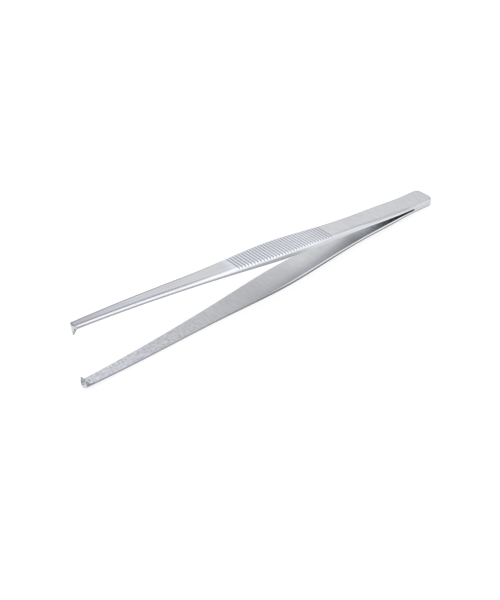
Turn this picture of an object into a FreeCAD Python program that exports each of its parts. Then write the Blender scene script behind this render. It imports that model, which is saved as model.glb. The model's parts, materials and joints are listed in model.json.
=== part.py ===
import FreeCAD, Part

import math
import os

import Sketcher

# Thumb forceps with one tooth against two, as two spring arms welded face to face at the heel.
# Each arm is drawn lying along -X from its heel, with its inner face down and its outer face up.
# The lower arm is that same shape turned over about X, so that the inner faces look at each other.
# Distances along an arm are measured from the end of the heel, in millimetres.

# Sizes that belong to the arm as a whole: name, value, what it is
ARM_SIZES = [
    ("heel_length", 9.3, "stretch over which the two arms are welded together"),
    ("heel_width", 8.4, "width across the heel"),
    ("heel_thickness", 1.4, "thickness of one arm at the heel"),
    ("heel_corner", 2.2, "plan radius of the two corners of the heel"),
    ("edge_break", 0.3, "size of the broken outer edge at the heel"),
    ("slot_half_height", 0.33, "half the height of the blunt end of the slot"),
]

# Sizes of the cross-sections ahead of the heel. Each row is a place along the arm:
# name, distance from the heel's end, width, height of the inner face over the middle plane,
# height of the upright side, run of the bevel across the arm, thickness
STATIONS = [
    ("neck", 18.5, 8.4, 0.7, 0.75, 0.4, 1.45),
    ("waist", 32.5, 8.15, 1.7, 0.9, 0.55, 1.52),
    ("grip_rear", 45.5, 8.9, 2.75, 1.12, 0.8, 1.7),
    ("grip_middle", 67.5, 10.6, 4.8, 1.15, 0.8, 1.97),
    ("grip_front", 87.5, 8.35, 6.75, 0.75, 1.05, 1.55),
    ("shank_rear", 97.5, 7.05, 7.63, 0.62, 1.0, 1.27),
    ("shank_middle", 111.5, 5.75, 8.82, 0.58, 0.82, 1.12),
    ("shank_front", 125.5, 4.78, 9.85, 0.58, 0.72, 1.0),
    ("tip_rear", 136.5, 4.0, 10.4, 0.62, 0.65, 0.94),
    ("tip", 143.5, 3.5, 10.63, 0.64, 0.6, 0.93),
]
STATION_SIZES = ("along", "width", "inner", "side", "bevel", "thickness")

# Sizes of the finger grip's grooves and of the teeth: name, value, what it is
DETAIL_SIZES = [
    ("groove_start", 47.5, "distance from the heel's end to the first groove"),
    ("groove_pitch", 1.19, "distance from groove to groove"),
    ("groove_count", 33, "number of grooves on each arm"),
    ("groove_width", 0.58, "width of a groove at the outer face"),
    ("groove_depth", 0.42, "depth of a groove"),
    ("corner_set_back", 0.8, "how far the tip's two corners lie behind the middle of its end"),
    ("tooth_height", 2.6, "height of the single tooth of the upper arm"),
    ("tooth_base_length", 1.7, "length of the single tooth along the arm at its root"),
    ("tooth_base_width", 2.4, "width of the single tooth at its root"),
    ("tooth_point_width", 0.55, "width of the single tooth at its point"),
    ("tooth_point", 0.25, "length of a tooth's blunt point along the arm"),
    ("fang_height", 1.3, "height of each of the two teeth of the lower arm"),
    ("fang_base_length", 2.1, "length of each of the two teeth along the arm at its root"),
    ("fang_base_width", 1.05, "width of each of the two teeth at its root"),
    ("fang_inset", 0.06, "distance from the tip's side to each of the two teeth"),
    ("notch_depth", 0.4, "depth of the notch between the two teeth"),
    ("notch_length", 2.8, "length of the notch along the arm"),
]

# How far a cutter or a root reaches past the surface that it meets
OVERLAP = 0.3


def fill_sheet(doc):
    """Put every driving size in the sheet, one row each, under its own name."""
    sheet = doc.addObject("Spreadsheet::Sheet", "Sizes")
    rows = list(ARM_SIZES)
    for name, *values in STATIONS:
        for quantity, value in zip(STATION_SIZES, values):
            rows.append((f"{name}_{quantity}", value, f"{quantity} at the {name}"))
    rows += DETAIL_SIZES
    for number, (alias, value, meaning) in enumerate(rows, start=1):
        sheet.set(f"A{number}", meaning)
        sheet.set(f"B{number}", str(value))
        sheet.setAlias(f"B{number}", alias)
    doc.recompute()
    return sheet


def origin_plane(body, role):
    """Find one of the body's own origin planes by its role."""
    return next(item for item in body.Origin.OriginFeatures if item.Role == role)


def new_sketch(body, name, role, offset=None):
    """Add a sketch to the body on one of its origin planes, moved by offset."""
    sketch = body.newObject("Sketcher::SketchObject", name)
    sketch.AttachmentSupport = (origin_plane(body, role), [""])
    sketch.MapMode = "FlatFace"
    if offset is not None:
        sketch.AttachmentOffset = offset
    return sketch


def draw_outline(sketch, points):
    """Draw a closed outline of straight lines through the points, joined at its corners."""
    corners = [FreeCAD.Vector(x, y, 0) for x, y in points]
    count = len(corners)
    for index in range(count):
        sketch.addGeometry(Part.LineSegment(corners[index], corners[(index + 1) % count]))
    for index in range(count):
        sketch.addConstraint(Sketcher.Constraint("Coincident", index, 2, (index + 1) % count, 1))


def drive(sketch, name, expression, kind, *places):
    """Add a dimension at its present measure, name it, and tie it to the sheet."""
    number = sketch.addConstraint(Sketcher.Constraint(kind, *places))
    sketch.renameConstraint(number, name)
    sketch.setExpression(f"Constraints.{name}", expression)


def draw_section(sketch, measures, expressions):
    """Draw an arm's cross-section: flat inner face, upright sides, bevels and outer face."""
    half = measures["width"] / 2
    run = half - measures["bevel"]
    inner = measures["inner"]
    bend = inner + measures["side"]
    outer = inner + measures["thickness"]
    draw_outline(sketch, [
        (-half, inner), (half, inner), (half, bend),
        (run, outer), (-run, outer), (-half, bend),
    ])
    inner_face, right_side, outer_face, left_side = 0, 1, 3, 5
    for face in (inner_face, outer_face):
        sketch.addConstraint(Sketcher.Constraint("Symmetric", face, 1, face, 2, -2))
    for upright in (right_side, left_side):
        sketch.addConstraint(Sketcher.Constraint("Vertical", upright))
    sketch.addConstraint(Sketcher.Constraint("Equal", right_side, left_side))
    for name, kind, *places in (
            ("width", "DistanceX", inner_face, 1, inner_face, 2),
            ("inner", "DistanceY", -1, 1, inner_face, 1),
            ("side", "DistanceY", right_side, 1, right_side, 2),
            ("bevel", "DistanceX", outer_face, 1, right_side, 2),
            ("thickness", "DistanceY", inner_face, 2, outer_face, 1)):
        drive(sketch, name, expressions[name], kind, *places, measures[name])


def add_heel(body, sheet):
    """Pad the flat, round-cornered heel and break the edge round its outer face."""
    length, width = sheet.heel_length, sheet.heel_width
    half, corner = width / 2, sheet.heel_corner
    outline = new_sketch(body, "HeelOutline", "XY_Plane")
    vector = FreeCAD.Vector
    outline.addGeometry(Part.LineSegment(vector(-corner, -half, 0), vector(-length, -half, 0)))
    outline.addGeometry(Part.LineSegment(vector(-length, -half, 0), vector(-length, half, 0)))
    outline.addGeometry(Part.LineSegment(vector(-length, half, 0), vector(-corner, half, 0)))
    upper_corner = Part.Circle(vector(-corner, half - corner, 0), vector(0, 0, 1), corner)
    outline.addGeometry(Part.ArcOfCircle(upper_corner, 0, math.pi / 2))
    outline.addGeometry(Part.LineSegment(vector(0, half - corner, 0), vector(0, corner - half, 0)))
    lower_corner = Part.Circle(vector(-corner, corner - half, 0), vector(0, 0, 1), corner)
    outline.addGeometry(Part.ArcOfCircle(lower_corner, -math.pi / 2, 0))
    lower_side, front, upper_side, upper_arc, end, lower_arc = range(6)
    outline.addConstraint([
        Sketcher.Constraint("Coincident", lower_side, 2, front, 1),
        Sketcher.Constraint("Coincident", front, 2, upper_side, 1),
        Sketcher.Constraint("Tangent", upper_side, 2, upper_arc, 2),
        Sketcher.Constraint("Tangent", upper_arc, 1, end, 1),
        Sketcher.Constraint("Tangent", end, 2, lower_arc, 2),
        Sketcher.Constraint("Tangent", lower_arc, 1, lower_side, 1),
        Sketcher.Constraint("Symmetric", front, 1, front, 2, -1),
        Sketcher.Constraint("Horizontal", upper_side),
        Sketcher.Constraint("Horizontal", lower_side),
        Sketcher.Constraint("PointOnObject", end, 1, -2),
        Sketcher.Constraint("Equal", upper_arc, lower_arc),
    ])
    drive(outline, "length", "Sizes.heel_length", "DistanceX", front, 1, -1, 1, length)
    drive(outline, "width", "Sizes.heel_width", "DistanceY", front, 1, front, 2, width)
    drive(outline, "corner", "Sizes.heel_corner", "Radius", upper_arc, corner)

    heel = body.newObject("PartDesign::Pad", "Heel")
    heel.Profile = outline
    heel.setExpression("Length", "Sizes.heel_thickness")
    body.Document.recompute()

    rim = []
    for number, edge in enumerate(heel.Shape.Edges, start=1):
        box = edge.BoundBox
        on_outer_face = box.ZMin > sheet.heel_thickness - 1e-6
        at_the_front = box.XMax < 1e-6 - length
        if on_outer_face and not at_the_front:
            rim.append(f"Edge{number}")
    broken = body.newObject("PartDesign::Chamfer", "HeelEdge")
    broken.Base = (heel, rim)
    broken.setExpression("Size", "Sizes.edge_break")
    body.Document.recompute()
    return broken


def add_blade(body, sheet):
    """Loft the blade of the arm from the end of the slot to the tip."""
    slot = new_sketch(body, "SectionSlotEnd", "YZ_Plane")
    slot.setExpression("AttachmentOffset.Base.z", "-Sizes.heel_length")
    draw_section(
        slot,
        {
            "width": sheet.heel_width,
            "inner": sheet.slot_half_height,
            "side": sheet.heel_thickness - sheet.edge_break - sheet.slot_half_height,
            "bevel": sheet.edge_break,
            "thickness": sheet.heel_thickness - sheet.slot_half_height,
        },
        {
            "width": "Sizes.heel_width",
            "inner": "Sizes.slot_half_height",
            "side": "Sizes.heel_thickness - Sizes.edge_break - Sizes.slot_half_height",
            "bevel": "Sizes.edge_break",
            "thickness": "Sizes.heel_thickness - Sizes.slot_half_height",
        },
    )
    sections = []
    for name, *_ in STATIONS:
        title = "Section" + name.title().replace("_", "")
        section = new_sketch(body, title, "YZ_Plane")
        section.setExpression("AttachmentOffset.Base.z", f"-Sizes.{name}_along")
        measures = {key: getattr(sheet, f"{name}_{key}") for key in STATION_SIZES[1:]}
        expressions = {key: f"Sizes.{name}_{key}" for key in STATION_SIZES[1:]}
        draw_section(section, measures, expressions)
        sections.append(section)
    blade = body.newObject("PartDesign::AdditiveLoft", "Blade")
    blade.Profile = slot
    blade.Sections = sections
    blade.Ruled = False
    body.Document.recompute()
    return blade


def circle_through(first, second, third):
    """Centre and radius of the circle through three points of the XZ plane."""
    points = [FreeCAD.Vector(x, 0, z) for x, z in (first, second, third)]
    circle = Part.Arc(*points).toShape().Curve
    return circle.Center, circle.Radius


def add_grooves(body, sheet):
    """Cut the grip's grooves across the crowned outer face, turned about the crown's centre."""
    crown = []
    for name in ("grip_rear", "grip_middle", "grip_front"):
        along, *heights = (
            getattr(sheet, f"{name}_{key}") for key in ("along", "inner", "thickness"))
        crown.append((-along, sum(heights)))
    centre, radius = circle_through(*crown)
    first_lean = math.degrees(math.asin((centre.x + sheet.groove_start) / radius))
    step = math.degrees(sheet.groove_pitch / radius)

    # The sketch's origin is the crown's centre, and its upright axis points at the first groove.
    offset = FreeCAD.Placement(
        FreeCAD.Vector(centre.x, centre.z, 0),
        FreeCAD.Rotation(FreeCAD.Vector(0, 0, 1), first_lean))
    profile = new_sketch(body, "GrooveProfile", "XZ_Plane", offset)
    bottom = radius - sheet.groove_depth
    top = radius + OVERLAP
    half_top = sheet.groove_width / 2 * (top - bottom) / sheet.groove_depth
    draw_outline(profile, [(0, bottom), (half_top, top), (-half_top, top)])
    profile.addConstraint(Sketcher.Constraint("PointOnObject", 0, 1, -2))
    profile.addConstraint(Sketcher.Constraint("Symmetric", 1, 1, 1, 2, -2))
    profile.addConstraint(Sketcher.Constraint("DistanceY", -1, 1, 0, 1, bottom))
    profile.addConstraint(Sketcher.Constraint("DistanceY", 0, 1, 0, 2, top - bottom))
    profile.addConstraint(Sketcher.Constraint("DistanceX", 1, 2, 1, 1, 2 * half_top))

    groove = body.newObject("PartDesign::Pocket", "Groove")
    groove.Profile = profile
    groove.Midplane = True
    groove.setExpression("Length", "2 * Sizes.grip_middle_width")
    body.Document.recompute()

    grooves = body.newObject("PartDesign::PolarPattern", "Grooves")
    grooves.Originals = [groove]
    grooves.Axis = (profile, ["N_Axis"])
    grooves.Angle = step * (sheet.groove_count - 1)
    grooves.setExpression("Occurrences", "Sizes.groove_count")
    body.Tip = grooves
    body.Document.recompute()
    return grooves


def tooth_plane(body, name, height):
    """Add a sketch at a height over the middle plane, with its origin at the tip's end."""
    sketch = new_sketch(body, name, "XY_Plane")
    sketch.setExpression("AttachmentOffset.Base.x", "-Sizes.tip_along")
    sketch.setExpression("AttachmentOffset.Base.z", height)
    return sketch


def draw_foot(sketch, corner, length, width, corner_texts, length_text, width_text):
    """Draw a tooth's rectangle from the corner nearest to the tip's end and to its middle."""
    start, low = corner
    end, high = start + length, low + width
    draw_outline(sketch, [(start, low), (end, low), (end, high), (start, high)])
    for line, way in enumerate(("Horizontal", "Vertical", "Horizontal", "Vertical")):
        sketch.addConstraint(Sketcher.Constraint(way, line))
    drive(sketch, "start", corner_texts[0], "DistanceX", -1, 1, 0, 1, start)
    drive(sketch, "low", corner_texts[1], "DistanceY", -1, 1, 0, 1, low)
    drive(sketch, "length", length_text, "DistanceX", 0, 1, 0, 2, length)
    drive(sketch, "width", width_text, "DistanceY", 0, 1, 3, 1, width)


def add_tooth(body, name, height_text, root, point):
    """Loft one tooth down from the inner face of the tip, from its root to its point."""
    root_sketch = tooth_plane(body, name + "Root", f"Sizes.tip_inner + {OVERLAP}")
    draw_foot(root_sketch, *root)
    point_sketch = tooth_plane(body, name + "Point", f"Sizes.tip_inner - {height_text}")
    draw_foot(point_sketch, *point)
    tooth = body.newObject("PartDesign::AdditiveLoft", name)
    tooth.Profile = root_sketch
    tooth.Sections = [point_sketch]
    tooth.Ruled = True
    body.Document.recompute()
    return tooth


def add_single_tooth(body, sheet):
    """The upper arm's one tooth, in the middle of the tip and flush with its end."""
    width, point_width = sheet.tooth_base_width, sheet.tooth_point_width
    add_tooth(
        body, "Tooth", "Sizes.tooth_height",
        ((0, -width / 2), sheet.tooth_base_length, width,
         ("0", "-Sizes.tooth_base_width / 2"), "Sizes.tooth_base_length", "Sizes.tooth_base_width"),
        ((0, -point_width / 2), sheet.tooth_point, point_width,
         ("0", "-Sizes.tooth_point_width / 2"), "Sizes.tooth_point", "Sizes.tooth_point_width"))
    round_tip(body, sheet)


def add_pair_of_teeth(body, sheet):
    """The lower arm's two teeth, one at each corner of the tip, and the notch between them."""
    outer, point = sheet.tip_width / 2 - sheet.fang_inset, sheet.tooth_point
    outer_text = "Sizes.tip_width / 2 - Sizes.fang_inset"
    fang = add_tooth(
        body, "Fang", "Sizes.fang_height",
        ((0, outer - sheet.fang_base_width), sheet.fang_base_length, sheet.fang_base_width,
         ("0", outer_text + " - Sizes.fang_base_width"),
         "Sizes.fang_base_length", "Sizes.fang_base_width"),
        ((sheet.corner_set_back, outer - point), point, point,
         ("Sizes.corner_set_back", outer_text + " - Sizes.tooth_point"),
         "Sizes.tooth_point", "Sizes.tooth_point"))
    pair = body.newObject("PartDesign::Mirrored", "Fangs")
    pair.Originals = [fang]
    pair.MirrorPlane = (origin_plane(body, "XZ_Plane"), [""])
    body.Tip = pair
    body.Document.recompute()

    profile = new_sketch(body, "NotchProfile", "YZ_Plane")
    profile.setExpression("AttachmentOffset.Base.z", "-Sizes.tip_along")
    top = sheet.tip_inner + sheet.notch_depth
    low = sheet.tip_inner - OVERLAP
    reach = outer - sheet.fang_base_width
    draw_outline(profile, [(0, top), (-reach, low), (reach, low)])
    profile.addConstraint(Sketcher.Constraint("PointOnObject", 0, 1, -2))
    profile.addConstraint(Sketcher.Constraint("Symmetric", 1, 1, 1, 2, -2))
    drive(profile, "top", "Sizes.tip_inner + Sizes.notch_depth", "DistanceY", -1, 1, 0, 1, top)
    drive(profile, "low", f"Sizes.tip_inner - {OVERLAP}", "DistanceY", -1, 1, 1, 1, low)
    drive(profile, "width", f"2 * ({outer_text} - Sizes.fang_base_width)",
          "DistanceX", 1, 1, 1, 2, 2 * reach)
    notch = body.newObject("PartDesign::Pocket", "Notch")
    notch.Profile = profile
    notch.Reversed = True
    notch.setExpression("Length", "Sizes.notch_length")
    body.Document.recompute()
    round_tip(body, sheet)


def round_tip(body, sheet):
    """Round the end of the tip in plan, teeth included, so that its two corners lie back."""
    outline = tooth_plane(body, "TipOutline", "0")
    back, half = sheet.corner_set_back, sheet.tip_width / 2
    out, front = half + OVERLAP, -OVERLAP
    vector = FreeCAD.Vector
    end = outline.addGeometry(Part.Arc(
        vector(back, half, 0), vector(0, 0, 0), vector(back, -half, 0)))
    corners = [(back, -half), (back, -out), (front, -out), (front, out), (back, out), (back, half)]
    lines = []
    for (x1, y1), (x2, y2) in zip(corners, corners[1:]):
        lines.append(outline.addGeometry(Part.LineSegment(vector(x1, y1, 0), vector(x2, y2, 0))))
    for before, after in zip(lines, lines[1:]):
        outline.addConstraint(Sketcher.Constraint("Coincident", before, 2, after, 1))
    outline.addConstraint([
        Sketcher.Constraint("Coincident", end, 2, lines[0], 1),
        Sketcher.Constraint("Coincident", end, 1, lines[-1], 2),
        Sketcher.Constraint("PointOnObject", -1, 1, end),
        Sketcher.Constraint("Symmetric", end, 1, end, 2, -1),
        Sketcher.Constraint("Vertical", lines[0]),
        Sketcher.Constraint("Horizontal", lines[1]),
        Sketcher.Constraint("Vertical", lines[2]),
        Sketcher.Constraint("Horizontal", lines[3]),
        Sketcher.Constraint("Vertical", lines[4]),
    ])
    drive(outline, "back", "Sizes.corner_set_back", "DistanceX", -1, 1, end, 1, back)
    drive(outline, "half", "Sizes.tip_width / 2", "DistanceY", -1, 1, end, 1, half)
    drive(outline, "out", f"Sizes.tip_width / 2 + {OVERLAP}", "DistanceY", -1, 1, lines[-1], 1, out)
    drive(outline, "width", f"Sizes.tip_width + {2 * OVERLAP}",
          "DistanceY", lines[2], 1, lines[2], 2, 2 * out)
    drive(outline, "front", str(OVERLAP), "DistanceX", lines[2], 1, -1, 1, OVERLAP)
    rounding = body.newObject("PartDesign::Pocket", "TipRounding")
    rounding.Profile = outline
    rounding.Type = "ThroughAll"
    rounding.Midplane = True
    body.Document.recompute()


def volume_step(feature, before, sign, what):
    """Stop unless the feature changed the volume the way it should."""
    change = feature.Shape.Volume - before
    print(f"{what}: {change:+.3f} mm3")
    if change * sign <= 0:
        raise RuntimeError(f"{what} did not change the solid as it should")
    return feature.Shape.Volume


def build_arm(doc, sheet, name, add_teeth):
    """Build one arm, lying along -X with its inner face down."""
    body = doc.addObject("PartDesign::Body", name)
    body.Label = name
    volume = volume_step(add_heel(body, sheet), 0, 1, f"{name} heel")
    volume = volume_step(add_blade(body, sheet), volume, 1, f"{name} blade")
    volume = volume_step(add_grooves(body, sheet), volume, -1, f"{name} grooves")
    add_teeth(body, sheet)
    volume_step(body.Tip, volume, 1, f"{name} teeth")
    return body


def stand_on_lower_arm(sheet, upper, lower):
    """Turn the arms face to face and lay the forceps on its lower heel and lower grip."""
    belly = sheet.grip_middle_inner + sheet.grip_middle_thickness
    lean = math.degrees(math.atan((belly - sheet.heel_thickness) / sheet.grip_middle_along))
    turn = FreeCAD.Rotation(FreeCAD.Vector(0, 1, 0), lean)
    turned_over = FreeCAD.Rotation(FreeCAD.Vector(1, 0, 0), 180)
    upper.Placement = FreeCAD.Placement(FreeCAD.Vector(), turn)
    lower.Placement = FreeCAD.Placement(FreeCAD.Vector(), turn.multiply(turned_over))
    box = upper.Shape.optimalBoundingBox()
    box.add(lower.Shape.optimalBoundingBox())
    shift = FreeCAD.Vector(-(box.XMin + box.XMax) / 2, -(box.YMin + box.YMax) / 2, -box.ZMin)
    for arm in (upper, lower):
        arm.Placement.Base = shift
    print(f"lean {lean:.3f} deg, overall {box.XLength:.2f} x {box.YLength:.2f} x {box.ZLength:.2f}")
    print(f"heel end of the middle plane at {shift.x:.4f}, {shift.y:.4f}, {shift.z:.4f}")


def check_and_export(doc, arms):
    """Stop on any failed object or bad solid, then write one STEP file for each arm."""
    for item in doc.Objects:
        if "Invalid" in item.State or "Error" in item.State:
            raise RuntimeError(f"{item.Name} failed: {item.State}")
    os.makedirs("parts", exist_ok=True)
    for arm in arms:
        shape = arm.Shape
        if shape.isNull() or not shape.isValid() or len(shape.Solids) != 1:
            raise RuntimeError(f"{arm.Label} is not one valid solid")
        shape.exportStep(f"parts/{arm.Label}.step")
        print(f"{arm.Label}: {shape.Volume:.2f} mm3, {len(shape.Faces)} faces")


document = FreeCAD.newDocument("ThumbForceps")
sizes = fill_sheet(document)
upper_arm = build_arm(document, sizes, "upper_arm", add_single_tooth)
lower_arm = build_arm(document, sizes, "lower_arm", add_pair_of_teeth)
stand_on_lower_arm(sizes, upper_arm, lower_arm)
document.recompute()
check_and_export(document, (upper_arm, lower_arm))
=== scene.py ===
# %% [markdown]
# # Toothed thumb forceps in satin steel
#
# The forceps are two spring arms welded together at the heel. Their shapes are already exact: they
# come in as two solids, and this lesson never moves or changes them. What is left for Blender is
# how the steel looks, so most of the cells build one thing: a ground, brushed and polished steel
# whose finish changes from face to face, as it does on the real instrument.

# %% Load the frame and keep its box
import bmesh
import bpy
import json
from math import pi, radians
from mathutils import Matrix, Vector


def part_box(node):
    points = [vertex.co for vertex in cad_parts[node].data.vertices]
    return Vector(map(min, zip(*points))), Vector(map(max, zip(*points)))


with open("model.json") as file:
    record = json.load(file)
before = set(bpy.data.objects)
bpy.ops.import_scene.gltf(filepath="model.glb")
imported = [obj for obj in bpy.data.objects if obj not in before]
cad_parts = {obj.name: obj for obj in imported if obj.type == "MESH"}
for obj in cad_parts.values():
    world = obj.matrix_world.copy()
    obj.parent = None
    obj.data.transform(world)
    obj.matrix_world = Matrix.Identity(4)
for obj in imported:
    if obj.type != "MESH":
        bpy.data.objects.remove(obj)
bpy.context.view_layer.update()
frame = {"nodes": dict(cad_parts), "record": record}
MM = 0.001
upper_arm = frame["nodes"]["upper_arm"]
lower_arm = frame["nodes"]["lower_arm"]
for arm in (upper_arm, lower_arm):
    low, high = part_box(arm.name)
    size = [round(side / MM, 2) for side in high - low]
    print(arm.name, "is", size, "mm, from", len(arm.data.polygons), "triangles")

# %% [markdown]
# ## The camera
#
# A camera could be nudged about until the picture looks right, but a long thin object gives
# itself away: a degree of error moves its tips by many pixels. Here the place, the turn and the
# lens come from matching the outlines of both arms with those in the photograph. The camera is
# turned in three steps that a photographer would use: which way it faces, how far it tips down,
# and how far it rolls about its own line of sight.

# %% Place the camera
CAMERA_SPOT = Vector((-160.4, -242.9, 215.0)) * MM
CAMERA_FACES = 32.1
CAMERA_TIPS_DOWN = 37.0
CAMERA_ROLLS = 8.4
LENS_MM = 65.3
SENSOR_MM = 36.0

camera = bpy.data.objects.new("camera", bpy.data.cameras.new("camera"))
camera.data.lens = LENS_MM
camera.data.sensor_width = SENSOR_MM
camera.data.clip_start = 10 * MM
turn = (
    Matrix.Rotation(radians(-CAMERA_FACES), 4, "Z")
    @ Matrix.Rotation(radians(90 - CAMERA_TIPS_DOWN), 4, "X")
    @ Matrix.Rotation(radians(-CAMERA_ROLLS), 4, "Z")
)
camera.matrix_world = Matrix.Translation(CAMERA_SPOT) @ turn
bpy.context.scene.collection.objects.link(camera)
bpy.context.scene.camera = camera
bpy.context.scene.view_settings.view_transform = "Standard"
print("camera is", round(CAMERA_SPOT.length / MM), "mm from the middle of the forceps")

# %% [markdown]
# ## Small helpers for nodes
#
# A material is a net of nodes, and writing out every socket hides what the net does. A few helpers
# are enough: one adds a node and fills in its sockets by name, five calculate, fade and blend, and
# two make and place a node group, so that an effect is built once and used with other values
# elsewhere.

# %% Helpers that add nodes
def add_node(tree, kind, settings=None, **sockets):
    """Adds a node, sets its properties, and fills sockets with a value or a link."""
    node = tree.nodes.new(kind)
    for name, value in (settings or {}).items():
        setattr(node, name, value)
    for name, value in sockets.items():
        key = int(name[1:]) if name[0] == "i" and name[1:].isdigit() else name.replace("_", " ")
        if isinstance(value, bpy.types.NodeSocket):
            tree.links.new(value, node.inputs[key])
        else:
            node.inputs[key].default_value = value
    return node


def calculate(tree, operation, first, second=0.0, clamp=False):
    """One step of arithmetic: gives the result's socket."""
    settings = {"operation": operation, "use_clamp": clamp}
    return add_node(tree, "ShaderNodeMath", settings, i0=first, i1=second).outputs[0]


def fade(tree, value, start, end, from_value=0.0, to_value=1.0):
    """Turns start..end into from_value..to_value with soft shoulders."""
    settings = {"interpolation_type": "SMOOTHSTEP"}
    node = add_node(
        tree, "ShaderNodeMapRange", settings, Value=value,
        From_Min=start, From_Max=end, To_Min=from_value, To_Max=to_value,
    )
    return node.outputs[0]


def both(tree, first, second):
    """A mask that is on where both masks are on."""
    return calculate(tree, "MULTIPLY", first, second)


def blend_values(tree, mask, off, on):
    """A number that goes from off to on with the mask."""
    node = add_node(tree, "ShaderNodeMix", {"data_type": "FLOAT"}, Factor=mask, A=off, B=on)
    return node.outputs["Result"]


def blend_colours(tree, mask, off, on):
    """A colour that goes from off to on with the mask."""
    node = add_node(tree, "ShaderNodeMix", {"data_type": "RGBA"}, Factor=mask)
    colour_sockets = [socket for socket in node.inputs if socket.type == "RGBA"]
    for socket, value in zip(colour_sockets, (off, on)):
        socket.default_value = (*value, 1.0)
    return next(socket for socket in node.outputs if socket.type == "RGBA")


def new_group(name, inputs, outputs):
    """Makes an empty shader node group from {socket name: kind of socket}."""
    group = bpy.data.node_groups.new(name, "ShaderNodeTree")
    for way, sockets in (("INPUT", inputs), ("OUTPUT", outputs)):
        for socket_name, kind in sockets.items():
            group.interface.new_socket(socket_name, in_out=way, socket_type="NodeSocket" + kind)
    start = group.nodes.new("NodeGroupInput")
    end = group.nodes.new("NodeGroupOutput")
    return group, start.outputs, end.inputs


def use_group(tree, group, **sockets):
    """Places a node group in a material and fills its inputs."""
    return add_node(tree, "ShaderNodeGroup", {"node_tree": group}, **sockets).outputs


# %% [markdown]
# ## The table and the light
#
# The photograph is a cut-out on pure white. A white table under brighter lamps would burn out the
# steel too, so the table's own colour does the work: rays from the camera, and rays mirrored by
# the steel, see mostly a glow of its own, with a little ordinary matt white that still shows the
# shadow. All other rays meet a plain white card, so the glow adds no light to the object. From
# below, the table is clear, so that the underside can be looked at too.

# %% Lay the table
TABLE_SIZE = 3.0
TABLE_GLOW = 0.74
TABLE_MATT = 0.33
CARD_WHITE = 0.80

table_mesh = bpy.data.meshes.new("table")
table_bm = bmesh.new()
bmesh.ops.create_grid(table_bm, x_segments=1, y_segments=1, size=TABLE_SIZE / 2)
table_bm.to_mesh(table_mesh)
table_bm.free()
table = bpy.data.objects.new("table", table_mesh)
bpy.context.scene.collection.objects.link(table)


def seen_directly(tree):
    """1 for rays from the camera, from a mirror or through glass."""
    path = tree.nodes.new("ShaderNodeLightPath").outputs
    mirrored = calculate(tree, "MAXIMUM", path["Is Glossy Ray"], path["Is Transmission Ray"])
    return calculate(tree, "MAXIMUM", path["Is Camera Ray"], mirrored)


def make_table_white():
    """White card whose own glow is seen only directly, and clear from below."""
    material = bpy.data.materials.new("table_white")
    material.use_nodes = True
    tree = material.node_tree
    tree.nodes.clear()
    card = add_node(tree, "ShaderNodeBsdfDiffuse", Color=(CARD_WHITE,) * 3 + (1,))
    matt = add_node(tree, "ShaderNodeBsdfDiffuse", Color=(TABLE_MATT,) * 3 + (1,))
    glow = add_node(tree, "ShaderNodeEmission", Strength=TABLE_GLOW)
    lit = add_node(tree, "ShaderNodeAddShader", i0=matt.outputs[0], i1=glow.outputs[0])
    mixed = add_node(
        tree, "ShaderNodeMixShader",
        i0=seen_directly(tree), i1=card.outputs[0], i2=lit.outputs[0],
    )
    clear = add_node(tree, "ShaderNodeBsdfTransparent")
    from_below = tree.nodes.new("ShaderNodeNewGeometry").outputs["Backfacing"]
    open_below = add_node(
        tree, "ShaderNodeMixShader", i0=from_below, i1=mixed.outputs[0], i2=clear.outputs[0]
    )
    add_node(tree, "ShaderNodeOutputMaterial", Surface=open_below.outputs[0])
    return material


table_mesh.materials.append(make_table_white())
print("table is", TABLE_SIZE, "m wide")

# %% [markdown]
# Steel has hardly any colour of its own: it shows the room. So the room matters as much as the
# finish. Flat faces that point up mirror the far wall, low down, and should stay a quiet grey.
# The long bevels mirror a patch high on the right, and they shine white in the photograph, so a
# soft lamp hangs exactly there. The wall grows a little brighter towards the ceiling.

# %% Paint the room
WHITE = (1, 1, 1, 1)
ROOM_AT_TABLE = 0.90
ROOM_AT_CEILING = 1.0
ROOM_FADES = (0.1, 1.0)


def paint_room():
    """A pale room, brighter overhead, that the camera itself sees as plain white."""
    world = bpy.data.worlds.new("room")
    world.use_nodes = True
    tree = world.node_tree
    tree.nodes.clear()
    direction = tree.nodes.new("ShaderNodeTexCoord").outputs["Generated"]
    height = add_node(tree, "ShaderNodeSeparateXYZ", Vector=direction).outputs["Z"]
    level = fade(tree, height, *ROOM_FADES, ROOM_AT_TABLE, ROOM_AT_CEILING)
    walls = add_node(tree, "ShaderNodeBackground", Color=WHITE, Strength=level)
    white = add_node(tree, "ShaderNodeBackground", Color=WHITE, Strength=1.0)
    from_camera = tree.nodes.new("ShaderNodeLightPath").outputs["Is Camera Ray"]
    shown = add_node(
        tree, "ShaderNodeMixShader", i0=from_camera, i1=walls.outputs[0], i2=white.outputs[0]
    )
    add_node(tree, "ShaderNodeOutputWorld", Surface=shown.outputs[0])
    bpy.context.scene.world = world


paint_room()

# %% Hang the lamp
def hang_lamp(name, towards, distance, width, height, brightness):
    """A soft rectangular lamp, seen from the forceps in the direction towards."""
    light = bpy.data.lights.new(name, "AREA")
    light.shape = "RECTANGLE"
    light.size = width
    light.size_y = height
    light.energy = brightness * pi * width * height
    lamp = bpy.data.objects.new(name, light)
    direction = Vector(towards).normalized()
    aim = (-direction).to_track_quat("-Z", "Y").to_matrix().to_4x4()
    lamp.matrix_world = Matrix.Translation(direction * distance) @ aim
    bpy.context.scene.collection.objects.link(lamp)


hang_lamp(
    "bevel_lamp", towards=(0.57, -0.22, 0.79), distance=0.60, width=0.70, height=0.55,
    brightness=0.40,
)

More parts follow.
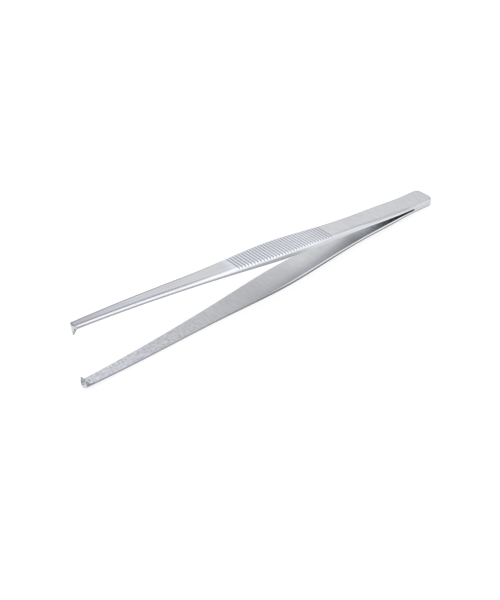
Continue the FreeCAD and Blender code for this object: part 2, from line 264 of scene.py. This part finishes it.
# %% [markdown]
# ## Where on the arm
#
# The finish of a forceps depends on the place: the outer face is brushed lengthwise, the inner
# face crosswise, the bevels are polished, and the grip's grooves are cut last. To say so in a
# material, each point needs its distance from the heel, its place across the arm, its height over
# the plane where the arms meet, and the way its face looks. The arms lean by a few degrees, so
# plain X, Y and Z won't do. The two flat mounts of the heel lie opposite each other, and give the
# middle plane and its lean. Since one arm is the other turned over, heights are taken without
# their sign, and one group serves both arms. How deep a point lies in the arm, counted from the
# inner face, needs the curve of that face, which a Float Curve node holds as one smooth line.

# %% Find the middle plane from the mounts
mounts = {mount["name"]: mount for mount in frame["record"]["mounts"]}
upper_spot = Vector(mounts["heel_upper_face"]["pos_m"])
lower_spot = Vector(mounts["heel_lower_face"]["pos_m"])
heel_middle = (upper_spot + lower_spot) / 2
OPENS_UP = Vector(mounts["heel_upper_face"]["axis"]).normalized()
TO_TIPS = OPENS_UP.cross(Vector((0, 1, 0)))
heel_end = max((v.co - heel_middle).dot(-TO_TIPS) for v in upper_arm.data.vertices)
print("heel ends", round(heel_end / MM, 2), "mm behind the mounts; arms lean",
      round(OPENS_UP.angle(Vector((0, 0, 1))) * 180 / pi, 2), "degrees")


# %% Group: place on the arm
def measure_along(tree, vector, axis):
    """How far a vector reaches along an axis."""
    settings = {"operation": "DOT_PRODUCT"}
    return add_node(tree, "ShaderNodeVectorMath", settings, i0=vector, i1=axis).outputs["Value"]


ARM_LENGTH = 143.5
GAP_HALF = 12.0
INNER_FACE = (
    (0, 0), (11, 0), (18.5, 0.7), (32.5, 1.7), (45.5, 2.75), (67.5, 4.8), (87.5, 6.75),
    (97.5, 7.63), (111.5, 8.82), (125.5, 9.85), (136.5, 10.4), (143.5, 10.63),
)


def build_arm_place():
    """Millimetres along, across and out from the middle plane, the side, and the depth."""
    outputs = {"Along": "Float", "Across": "Float", "Out": "Float", "Side": "Float",
               "Depth": "Float"}
    group, given, result = new_group("arm_place", {"Spot": "Vector"}, outputs)
    spot = add_node(
        group, "ShaderNodeVectorMath", {"operation": "SUBTRACT"}, i0=given["Spot"], i1=heel_middle
    ).outputs[0]
    along = calculate(group, "ADD", measure_along(group, spot, TO_TIPS), heel_end)
    height = measure_along(group, spot, OPENS_UP)
    across = add_node(group, "ShaderNodeSeparateXYZ", Vector=spot).outputs["Y"]
    group.links.new(calculate(group, "DIVIDE", along, MM), result["Along"])
    group.links.new(calculate(group, "DIVIDE", across, MM), result["Across"])
    out = calculate(group, "ABSOLUTE", calculate(group, "DIVIDE", height, MM))
    group.links.new(out, result["Out"])
    group.links.new(calculate(group, "SIGN", height), result["Side"])
    share = calculate(group, "DIVIDE", along, ARM_LENGTH * MM)
    profile = add_node(group, "ShaderNodeFloatCurve", Value=share)
    curve = profile.mapping.curves[0]
    ends = (curve.points[0], curve.points[-1])
    for end, (place, rise) in zip(ends, (INNER_FACE[0], INNER_FACE[-1])):
        end.location = (place / ARM_LENGTH, rise / GAP_HALF)
    for place, rise in INNER_FACE[1:-1]:
        curve.points.new(place / ARM_LENGTH, rise / GAP_HALF)
    profile.mapping.update()
    inner_face = calculate(group, "MULTIPLY", profile.outputs[0], GAP_HALF)
    group.links.new(calculate(group, "SUBTRACT", out, inner_face), result["Depth"])
    return group


arm_place = build_arm_place()

# %% [markdown]
# The way a face looks comes from its normal. The solids have knife-sharp edges, while every edge of
# a real instrument is tumbled or rubbed soft. Cutting hundreds of tiny roundings into the mesh
# would make it heavy, so the edges are rounded in the shading: near an edge, a Bevel node turns the
# normal gradually from one face to the next. The same turned normal then tells where the edges are,
# which is where a thin dark line of painted shade goes.

# %% Group: facing, with softened edges
BEVEL_SAMPLES = 8


def build_facing():
    """The softened normal, its parts along the arm's own directions, and how far it is bent."""
    inputs = {"Facing": "Vector", "Side": "Float", "Radius": "Float"}
    outputs = {"Normal": "Vector", "To Tips": "Float", "Aside": "Float", "Outward": "Float",
               "Bend": "Float"}
    group, given, result = new_group("soft_edged_facing", inputs, outputs)
    rounded = add_node(group, "ShaderNodeBevel", {"samples": BEVEL_SAMPLES}, Radius=given["Radius"])
    group.links.new(rounded.outputs["Normal"], result["Normal"])
    settings = {"vector_type": "NORMAL", "convert_from": "WORLD", "convert_to": "OBJECT"}
    own = add_node(group, "ShaderNodeVectorTransform", settings, Vector=rounded.outputs["Normal"])
    own = own.outputs[0]
    group.links.new(measure_along(group, own, TO_TIPS), result["To Tips"])
    aside = add_node(group, "ShaderNodeSeparateXYZ", Vector=own).outputs["Y"]
    group.links.new(calculate(group, "ABSOLUTE", aside), result["Aside"])
    faces_up = measure_along(group, own, OPENS_UP)
    group.links.new(calculate(group, "MULTIPLY", faces_up, given["Side"]), result["Outward"])
    agree = add_node(group, "ShaderNodeVectorMath", {"operation": "DOT_PRODUCT"},
                     i0=own, i1=given["Facing"]).outputs["Value"]
    group.links.new(calculate(group, "SUBTRACT", 1.0, agree), result["Bend"])
    return group


soft_edged_facing = build_facing()

# %% [markdown]
# ## Brushed threads
#
# Brushing leaves fine parallel scratches. An image of scratches would blur in a close view, so
# they are noise drawn out into threads: the place is measured in thread widths one way and in
# thread lengths the other way before the noise reads it. One group makes the threads, and the
# steel asks for them once per direction.

# %% Group: brushed threads
NOISE_RANGE = (0.25, 0.75)


def build_threads():
    """Noise drawn out into threads: gives 0..1."""
    inputs = {"Lengthwise": "Float", "Sideways": "Float", "Length": "Float", "Width": "Float",
              "Layer": "Float"}
    group, given, result = new_group("brushed_threads", inputs, {"Threads": "Float"})
    stretched = add_node(
        group, "ShaderNodeCombineXYZ",
        X=calculate(group, "DIVIDE", given["Lengthwise"], given["Length"]),
        Y=calculate(group, "DIVIDE", given["Sideways"], given["Width"]),
        Z=given["Layer"],
    )
    noise = add_node(
        group, "ShaderNodeTexNoise", Vector=stretched.outputs[0], Scale=1.0, Detail=3.0,
        Roughness=0.6,
    )
    group.links.new(fade(group, noise.outputs["Fac"], *NOISE_RANGE), result["Threads"])
    return group


brushed_threads = build_threads()

# %% [markdown]
# ## Which face is it
#
# The solids have no painted regions, but the faces tell themselves apart: the outer face looks
# straight out, the inner face straight in, the sides aside, the bevels halfway, and only a groove's
# walls look along the arm. Each test becomes a mask between 0 and 1. The groove walls get painted
# shade. The grooves run out on the bevels with hardly any depth left, so a third group draws their
# bottoms as lines of painted shade that fade there. Two more masks mark edges where painted shade
# goes: the crease between the outer face and the bevel, and the outer rim of the side.

# %% Group: faces of an arm
GROOVES_FROM = 46.5
GROOVES_TO = 87.5
STEEP = (0.25, 0.5)
LOOKS_ASIDE = (0.88, 0.96)
LOOKS_ASLANT = (0.30, 0.45)
LOOKS_OUT = (0.0, 0.2)
LOOKS_IN = (-0.7, -0.9)


def build_arm_faces():
    """Masks for the inner face, bevels, sides, groove walls and cut ends."""
    inputs = {"Along": "Float", "To Tips": "Float", "Aside": "Float", "Outward": "Float"}
    names = ("Inner Face", "Bevel", "Side", "Groove", "End")
    group, given, result = new_group("arm_faces", inputs, {name: "Float" for name in names})
    lengthwise = calculate(group, "ABSOLUTE", given["To Tips"])
    in_grip = both(
        group, fade(group, given["Along"], GROOVES_FROM - 0.5, GROOVES_FROM),
        fade(group, given["Along"], GROOVES_TO + 0.5, GROOVES_TO),
    )
    steep = fade(group, lengthwise, *STEEP)
    groove = both(group, steep, in_grip)
    end = both(group, steep, calculate(group, "SUBTRACT", 1.0, in_grip))
    level = calculate(group, "SUBTRACT", 1.0, steep)
    side = both(group, level, fade(group, given["Aside"], *LOOKS_ASIDE))
    aslant = fade(group, given["Aside"], *LOOKS_ASLANT)
    outward = fade(group, given["Outward"], *LOOKS_OUT)
    bevel = both(group, outward, calculate(group, "SUBTRACT", aslant, side, clamp=True))
    bevel = both(group, level, bevel)
    inner = both(group, level, fade(group, given["Outward"], *LOOKS_IN))
    for name, mask in zip(names, (inner, bevel, side, groove, end)):
        group.links.new(mask, result[name])
    return group


# %% Group: groove lines
FIRST_GROOVE = 47.5
GROOVE_PITCH = 1.185
GROOVE_HALF = 0.24
GROOVE_SOFT = 0.1
GROOVE_TAIL = (-0.05, 0.08)
LINES_FROM = (GROOVES_FROM - 0.3, GROOVES_FROM)
LINES_TO = (GROOVES_TO - 0.9, GROOVES_TO - 1.2)


def build_groove_lines():
    """A line in the bottom of each groove, which runs out softly down the bevel."""
    inputs = {"Along": "Float", "Depth": "Float", "End Depth": "Float"}
    group, given, result = new_group("groove_lines", inputs, {"Line": "Float"})
    from_first = calculate(group, "SUBTRACT", given["Along"], FIRST_GROOVE - GROOVE_PITCH / 2)
    turns = calculate(group, "DIVIDE", from_first, GROOVE_PITCH)
    within = calculate(group, "SUBTRACT", calculate(group, "FRACT", turns), 0.5)
    off_centre = calculate(group, "MULTIPLY", calculate(group, "ABSOLUTE", within), GROOVE_PITCH)
    line = fade(group, off_centre, GROOVE_HALF, GROOVE_HALF - GROOVE_SOFT)
    in_grip = both(
        group, fade(group, given["Along"], *LINES_FROM), fade(group, given["Along"], *LINES_TO)
    )
    above = calculate(group, "SUBTRACT", given["Depth"], given["End Depth"])
    line = both(group, line, fade(group, above, *GROOVE_TAIL))
    group.links.new(both(group, line, in_grip), result["Line"])
    return group


groove_lines = build_groove_lines()

# %% Group: marks along the edges
CREASE_BEND = (0.001, 0.009)
CREASE_ASIDE = (0.66, 0.54)
RIM_ASIDE = (0.72, 0.84)
RIM_SOFT = 0.06


def build_edge_marks():
    """The crease between the outer face and the bevel, and the outer rim of the side."""
    inputs = {"To Tips": "Float", "Aside": "Float", "Outward": "Float", "Bend": "Float",
              "Depth": "Float", "Rim From": "Float"}
    group, given, result = new_group("edge_marks", inputs, {"Crease": "Float", "Rim": "Float"})
    lengthwise = calculate(group, "ABSOLUTE", given["To Tips"])
    level = fade(group, lengthwise, *reversed(STEEP))
    crease = both(group, fade(group, given["Bend"], *CREASE_BEND),
                  fade(group, given["Aside"], *CREASE_ASIDE))
    outward = fade(group, given["Outward"], *LOOKS_OUT)
    group.links.new(both(group, both(group, outward, level), crease), result["Crease"])
    below = calculate(group, "SUBTRACT", given["Depth"], given["Rim From"])
    rim = both(group, fade(group, given["Aside"], *RIM_ASIDE),
               fade(group, below, -RIM_SOFT, RIM_SOFT))
    group.links.new(both(group, rim, level), result["Rim"])
    return group


edge_marks = build_edge_marks()
arm_faces = build_arm_faces()
print("groups:", [group.name for group in bpy.data.node_groups])

# %% [markdown]
# ## The steel
#
# All the finishes and the painted light and shade meet in one recipe, mixed once for each arm. Its
# tone follows each face along the arm, partly because a rougher cut or a polished bevel gives back
# another share of the light, and partly as painted light and shade: a face is made lighter or
# darker where it catches more or less of the room. A Color Ramp would hide those tones in a row of
# sliders, so a small helper chains soft fades from one named place to the next. Places are in
# millimetres from the heel.

# %% Helpers: a tone that drifts along the arm, and threads of one size
def drift(tree, along, stops):
    """A value that passes softly through (millimetres from the heel, value) pairs."""
    place, value = stops[0]
    result = value
    for next_place, next_value in stops[1:]:
        step = fade(tree, along, place, next_place, 0.0, next_value - value)
        result = calculate(tree, "ADD", result, step)
        place, value = next_place, next_value
    return result


def tinted(tree, tint, tone):
    """A tint made lighter or darker by a tone."""
    settings = {"operation": "SCALE"}
    return add_node(tree, "ShaderNodeVectorMath", settings, i0=tint, Scale=tone).outputs[0]


def threads(tree, lengthwise, sideways, size, layer):
    """Threads of a (length, width) in millimetres."""
    length, width = size
    return use_group(
        tree, brushed_threads, Lengthwise=lengthwise, Sideways=sideways,
        Length=length, Width=width, Layer=layer,
    )["Threads"]


# %% [markdown]
# The outer face is brushed across at the heel and lengthwise from the grip on. The inner face is
# brushed across, and towards the tips it is cut more roughly, so that it looks mottled.

# %% The brushed faces
LENGTHWISE_THREAD = (16.0, 0.7)
CROSSWISE_THREAD = (4.0, 0.6)
MOTTLE_SPOT = (1.0, 1.3)
BRUSHING_TURNS = (40, 50)
ROUGH_CUT = (85, 115)
OUTER_CONTRAST = (0.93, 1.07)
INNER_CONTRAST = (0.92, 1.08)
MOTTLE_CONTRAST = (0.80, 1.20)
# These tones are partly the finish and partly painted light and shade, set along the arm.
OUTER_TONES = ((0, 0.68), (20, 0.72), (38, 0.72), (39, 0.74), (45, 0.74), (48, 0.88),
               (86, 0.90), (89, 0.75), (108, 0.72), (121, 0.74), (128, 0.68), (140, 0.58))
INNER_TONES = ((20, 0.74), (30, 0.78), (35, 0.62), (42, 0.69), (56, 0.72), (66, 0.62),
               (80, 0.56), (100, 0.60), (116, 0.63), (130, 0.70))


def brushed_tones(tree, place, inner_shade_factor, mottle):
    """The tones of the outer and of the inner face, with their threads."""
    along, across = place["Along"], place["Across"]
    lengthwise = threads(tree, along, across, LENGTHWISE_THREAD, 1.0)
    crosswise = threads(tree, across, along, CROSSWISE_THREAD, 5.0)
    brushed = blend_values(tree, fade(tree, along, *BRUSHING_TURNS), crosswise, lengthwise)
    outer = calculate(tree, "MULTIPLY", drift(tree, along, OUTER_TONES),
                      blend_values(tree, brushed, *OUTER_CONTRAST))
    # Each arm's inner face can take a painted shade that lowers all its tones.
    inner_tones = [(stop, inner_shade_factor * value) for stop, value in INNER_TONES]
    inner = calculate(tree, "MULTIPLY", drift(tree, along, inner_tones),
                      blend_values(tree, crosswise, *INNER_CONTRAST))
    spotted = blend_values(tree, mottle, *MOTTLE_CONTRAST)
    spotted = blend_values(tree, fade(tree, along, *ROUGH_CUT), 1.0, spotted)
    return outer, calculate(tree, "MULTIPLY", inner, spotted)


# %% [markdown]
# Thin dark lines make the edges readable: painted shade in the crease beside the bevel, on the rim
# of the side and along the outlines of the teeth, and the darker seam of the weld round the heel.
# Each is a mask that lowers the tone a little, and none changes the shape.

# %% The lines along the edges
RIM_FROM = ((12, 0.80), (20, 0.50), (60, 0.48), (80, 0.42))
CREASE_SHADE = ((8, 0.92), (20, 0.84), (34, 0.74), (44, 0.76), (56, 1.0), (84, 1.0), (93, 0.75),
                (108, 0.42), (140, 0.42))
TIP_FROM = (139.5, 140.5)
OUTLINE_BEND = (0.01, 0.10)
OUTLINE_SHADE = 0.45
SEAM_OUT = (0.16, 0.04)
SEAM_ALONG = (19, 17)
SEAM_SHADE = 0.75


def edge_lines(tree, tone, place, marks, outlined, rim_shade):
    """Paints shade at the crease, the rim and the teeth's outlines, and darkens the weld's seam."""
    along = place["Along"]
    # The crease beside the bevel gets painted shade.
    crease = calculate(tree, "MULTIPLY", tone, drift(tree, along, CREASE_SHADE))
    tone = blend_values(tree, marks["Crease"], tone, crease)
    # The outer rim of the side gets painted shade.
    tone = blend_values(tree, marks["Rim"], tone, drift(tree, along, rim_shade))
    # The teeth's outlines get painted shade.
    at_tip = both(tree, fade(tree, along, *TIP_FROM), fade(tree, outlined["Bend"], *OUTLINE_BEND))
    tone = calculate(tree, "MULTIPLY", tone, blend_values(tree, at_tip, 1.0, OUTLINE_SHADE))
    seam = both(tree, fade(tree, place["Out"], *SEAM_OUT), fade(tree, along, *SEAM_ALONG))
    return calculate(tree, "MULTIPLY", tone, blend_values(tree, seam, 1.0, SEAM_SHADE))


# %% [markdown]
# The steel is a cool grey. On the grip and towards the tips it takes a faint lavender tint, which
# also drifts over the rest in large, barely visible clouds.

# %% The tint
STEEL_TINT = (0.88, 0.90, 0.92)
LAVENDER_TINT = (0.865, 0.88, 0.955)
CLOUD_SIZE = (12.0, 9.0)
CLOUD_SHARE = 0.6
GRIP_TINT_REAR = (44, 48)
GRIP_TINT_FRONT = (92, 88)
GRIP_TINT_OUT = (-0.2, 0.2)
TIP_TINT = (90, 125)


def steel_tint(tree, place, facing):
    """Cool grey, turning to lavender on the grip, towards the tips and in clouds."""
    along = place["Along"]
    clouds = threads(tree, along, place["Across"], CLOUD_SIZE, 13.0)
    on_grip = both(tree, fade(tree, along, *GRIP_TINT_REAR), fade(tree, along, *GRIP_TINT_FRONT))
    on_grip = both(tree, on_grip, fade(tree, facing["Outward"], *GRIP_TINT_OUT))
    lavender = calculate(tree, "MAXIMUM", fade(tree, along, *TIP_TINT), on_grip)
    clouded = calculate(tree, "MULTIPLY", clouds, CLOUD_SHARE)
    lavender = calculate(tree, "MAXIMUM", lavender, clouded)
    return blend_colours(tree, lavender, STEEL_TINT, LAVENDER_TINT)


# %% [markdown]
# The outer face of the grip is flat in the solid, while hand finishing leaves it very slightly
# round. A shallow arch fed to a Bump node bends the light there as if it were.

# %% The crown of the grip
CROWN_RADIUS = 22.0
CROWN_REAR = (38, 50)
CROWN_FRONT = (98, 86)
CROWN_OUT = (0.90, 0.97)


def crowned_normal(tree, place, facing):
    """The softened normal, bent as if the grip's outer face were slightly round."""
    along = place["Along"]
    crown = calculate(tree, "MULTIPLY", place["Across"], place["Across"])
    crown = calculate(tree, "MULTIPLY", crown, -0.5 * MM / CROWN_RADIUS)
    in_grip = both(tree, fade(tree, along, *CROWN_REAR), fade(tree, along, *CROWN_FRONT))
    in_grip = both(tree, in_grip, fade(tree, facing["Outward"], *CROWN_OUT))
    bump = add_node(tree, "ShaderNodeBump", Strength=1.0, Distance=1.0,
                    Height=both(tree, crown, in_grip), Normal=facing["Normal"])
    return bump.outputs["Normal"]


# %% [markdown]
# Now everything comes together. The faces are laid over each other in turn: outer and inner face,
# bevel, side, grooves and cut ends, and last the lines along the edges. The roughness follows the
# same masks: the polished bevel is the smoothest, and the satin outer face the roughest.

# %% The steel
# The bevel's tones are partly its polish and partly painted light and shade, set along the arm.
BEVEL_TONES = ((15, 0.52), (22, 0.60), (42, 0.60), (60, 0.82), (100, 0.84), (120, 0.90),
               (140, 0.96))
GROOVE_ENDS = ((45, 1.36), (67, 1.48), (87, 1.04))
GROOVE_SHADE = 0.60
END_TONE = 0.74
EDGE_RADIUS = 0.12 * MM
OUTLINE_RADIUS = 0.35 * MM
MARK_RADIUS = 1.1 * MM
OUTER_ROUGH = 0.36
INNER_ROUGH = 0.30
BEVEL_ROUGH = 0.20
SIDE_ROUGH = 0.25
ROUGH_SPREAD = 0.03


def make_steel(name, inner_shade_factor, side_light_and_shade, rim_shade):
    """Satin steel for one arm, its finish and painted light and shade changing from face to face.
    """
    material = bpy.data.materials.new(name)
    material.use_nodes = True
    tree = material.node_tree
    shader = tree.nodes["Principled BSDF"]
    shader.inputs["Metallic"].default_value = 1.0
    coordinates = tree.nodes.new("ShaderNodeTexCoord").outputs
    place = use_group(tree, arm_place, Spot=coordinates["Object"])
    along = place["Along"]
    facing, outlined, marked = [
        use_group(tree, soft_edged_facing, Facing=coordinates["Normal"], Side=place["Side"],
                  Radius=radius)
        for radius in (EDGE_RADIUS, OUTLINE_RADIUS, MARK_RADIUS)
    ]
    faces = use_group(
        tree, arm_faces, Along=along, To_Tips=facing["To Tips"], Aside=facing["Aside"],
        Outward=facing["Outward"],
    )
    marks = use_group(
        tree, edge_marks, To_Tips=marked["To Tips"], Aside=marked["Aside"],
        Outward=marked["Outward"], Bend=marked["Bend"], Depth=place["Depth"],
        Rim_From=drift(tree, along, RIM_FROM),
    )
    groove_line = use_group(
        tree, groove_lines, Along=along, Depth=place["Depth"],
        End_Depth=drift(tree, along, GROOVE_ENDS),
    )["Line"]
    mottle = threads(tree, along, place["Across"], MOTTLE_SPOT, 9.0)

    outer, inner = brushed_tones(tree, place, inner_shade_factor, mottle)
    tone = blend_values(tree, faces["Inner Face"], outer, inner)
    tone = blend_values(tree, faces["Bevel"], tone, drift(tree, along, BEVEL_TONES))
    # The sides take painted light and shade, set for each arm.
    tone = blend_values(tree, faces["Side"], tone, drift(tree, along, side_light_and_shade))
    # Groove walls and the lines in the groove bottoms get painted shade.
    shaded_grooves = calculate(tree, "MAXIMUM", faces["Groove"], groove_line)
    tone = blend_values(tree, shaded_grooves, tone, GROOVE_SHADE)
    tone = blend_values(tree, faces["End"], tone, END_TONE)
    tone = edge_lines(tree, tone, place, marks, outlined, rim_shade)
    tint = steel_tint(tree, place, facing)
    tree.links.new(tinted(tree, tint, tone), shader.inputs["Base Color"])

    roughness = blend_values(tree, faces["Inner Face"], OUTER_ROUGH, INNER_ROUGH)
    roughness = blend_values(tree, faces["Bevel"], roughness, BEVEL_ROUGH)
    roughness = blend_values(tree, faces["Side"], roughness, SIDE_ROUGH)
    spread = blend_values(tree, mottle, -ROUGH_SPREAD, ROUGH_SPREAD)
    tree.links.new(calculate(tree, "ADD", roughness, spread), shader.inputs["Roughness"])
    tree.links.new(crowned_normal(tree, place, facing), shader.inputs["Normal"])
    return material


# %% [markdown]
# The two arms come from the same recipe, with their painted light and shade set a little
# differently. The lower one's side gets a painted highlight above a painted dark rim, as in the
# photograph, both sides get painted shade towards the tips, and the upper one's inner face, which
# looks down, gets a little painted shade.

# %% Give each arm its steel
upper_arm.material_slots[0].material = make_steel(
    "satin_steel_upper", inner_shade_factor=0.90,
    side_light_and_shade=((10, 0.74), (18, 0.92), (32, 0.86), (45, 0.74), (54, 0.72), (68, 0.38),
                (100, 0.42)),
    rim_shade=((10, 0.72), (30, 0.76), (54, 0.72), (68, 0.44), (100, 0.50)),
)
lower_arm.material_slots[0].material = make_steel(
    "satin_steel_lower", inner_shade_factor=1.0,
    side_light_and_shade=((10, 0.74), (18, 0.97), (60, 0.95), (80, 0.38)),
    rim_shade=((10, 0.42), (18, 0.22), (70, 0.24), (140, 0.30)),
)
print("steels:", [arm.active_material.name for arm in (upper_arm, lower_arm)])
